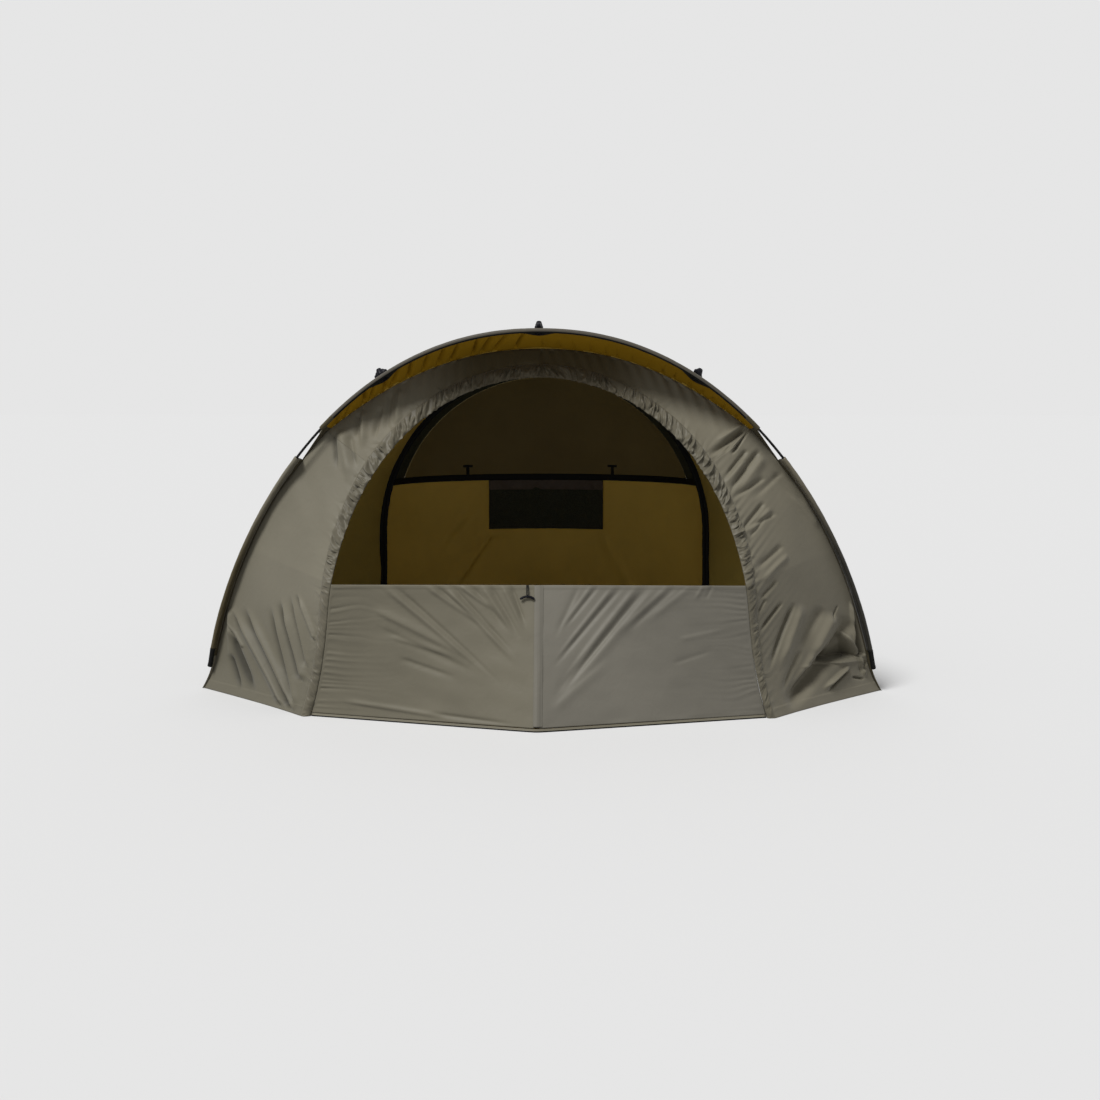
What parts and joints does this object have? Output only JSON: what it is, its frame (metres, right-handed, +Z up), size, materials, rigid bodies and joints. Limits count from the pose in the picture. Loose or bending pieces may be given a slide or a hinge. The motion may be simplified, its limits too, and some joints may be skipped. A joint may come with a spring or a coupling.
{
  "type": "bivvy tent",
  "caption": "Low dome bivvy shelter on two pole hoops, with an arched zip-door front, a rear dome with a mesh window, and storm-pole fittings on its front edge.",
  "frame": {"origin": "on the ground, under the middle of the tent's footprint", "axes": "+Z up, the doors face -Y, +X to the right of someone who looks in through the doors"},
  "size_m": [2.6602, 1.846, 1.4324],
  "materials": {
    "khaki_fabric": "coated polyester, soft sheen",
    "gold_fabric": "coated polyester lining, soft sheen",
    "dark_fabric": "dark coated polyester",
    "black_mesh": "fine insect mesh",
    "black_tape": "woven tape",
    "brown_tape": "woven tape",
    "black_plastic": "moulded, glossy",
    "fibreglass": "black fibreglass rod, satin",
    "steel": "drawn tube"
  },
  "bodies": {
    "tent": {"canopy_roof": "khaki_fabric", "canopy_side_left": "khaki_fabric", "canopy_side_right": "khaki_fabric", "front_wall_left": "khaki_fabric", "front_wall_right": "khaki_fabric", "front_wall_top": "khaki_fabric", "door_binding": "khaki_fabric", "sill": "black_tape", "front_sleeve_left": "khaki_fabric", "front_sleeve_crown": "khaki_fabric", "front_sleeve_right": "khaki_fabric", "rear_sleeve": "black_tape", "front_pole_left_lower": "fibreglass", "front_pole_left_upper": "fibreglass", "front_pole_crown": "fibreglass", "front_pole_right_upper": "fibreglass", "front_pole_right_lower": "fibreglass", "rear_pole_left": "fibreglass", "rear_pole_crown": "fibreglass", "rear_pole_right": "fibreglass", "front_ferrule_1": "steel", "front_ferrule_2": "steel", "front_ferrule_3": "steel", "front_ferrule_4": "steel", "rear_ferrule_1": "steel", "rear_ferrule_2": "steel", "front_foot_left": "black_tape", "front_foot_right": "black_tape", "rear_foot_left": "black_tape", "rear_foot_right": "black_tape", "rear_wall": "gold_fabric", "rear_dome_panel": "dark_fabric", "rear_mesh_band": "black_mesh", "window_mesh": "black_mesh", "window_header": "brown_tape", "rear_seam_tape": "black_tape", "hanging_strap_left": "black_tape", "hanging_strap_right": "black_tape", "storm_patch_left": "black_tape", "storm_patch_centre": "black_tape", "storm_patch_right": "black_tape", "storm_boss_left": "black_plastic", "storm_boss_centre": "black_plastic", "storm_boss_right": "black_plastic"},
    "door_left": {"door_panel_left": "khaki_fabric", "zip_tape_left": "black_tape", "door_toggle": "black_plastic", "toggle_loop": "black_tape"},
    "door_right": {"door_panel_right": "khaki_fabric", "zip_tape_right": "black_tape"},
    "zip_slider": {"zip_slider": "black_plastic"},
    "window_flap": {"window_flap": "khaki_fabric"},
    "storm_cap_left": {"storm_cap_left": "black_plastic"},
    "storm_cap_centre": {"storm_cap_centre": "black_plastic"},
    "storm_cap_right": {"storm_cap_right": "black_plastic"}
  },
  "joints": [
    {"name": "door_left_hinge", "type": "hinge", "parent": "tent", "child": "door_left", "pos_m": [0, -0.91484, 0.0158], "axis": [0.9722, -0.2343, 0], "range_deg": [0, 88]},
    {"name": "door_right_hinge", "type": "hinge", "parent": "tent", "child": "door_right", "pos_m": [0, -0.91484, 0.0158], "axis": [0.9722, 0.2343, 0], "range_deg": [0, 88]},
    {"name": "zip_travel", "type": "slide", "parent": "door_left", "child": "zip_slider", "axis": [-0.0009, -0.3357, -0.942], "range_m": [0, 0.44]},
    {"name": "window_flap_hinge", "type": "hinge", "parent": "tent", "child": "window_flap", "pos_m": [0, 0.85887, 0.73514], "axis": [1, 0, 0], "range_deg": [0, 110]},
    {"name": "storm_cap_left_screw", "type": "hinge", "parent": "tent", "child": "storm_cap_left", "pos_m": [-0.58006, -0.56806, 1.2174], "axis": [-0.4858, 0.3183, 0.814], "continuous": true},
    {"name": "storm_cap_centre_screw", "type": "hinge", "parent": "tent", "child": "storm_cap_centre", "pos_m": [0, -0.60464, 1.38721], "axis": [0, 0.2967, 0.955], "continuous": true},
    {"name": "storm_cap_right_screw", "type": "hinge", "parent": "tent", "child": "storm_cap_right", "pos_m": [0.58006, -0.56806, 1.2174], "axis": [0.4858, 0.3183, 0.814], "continuous": true}
  ]
}
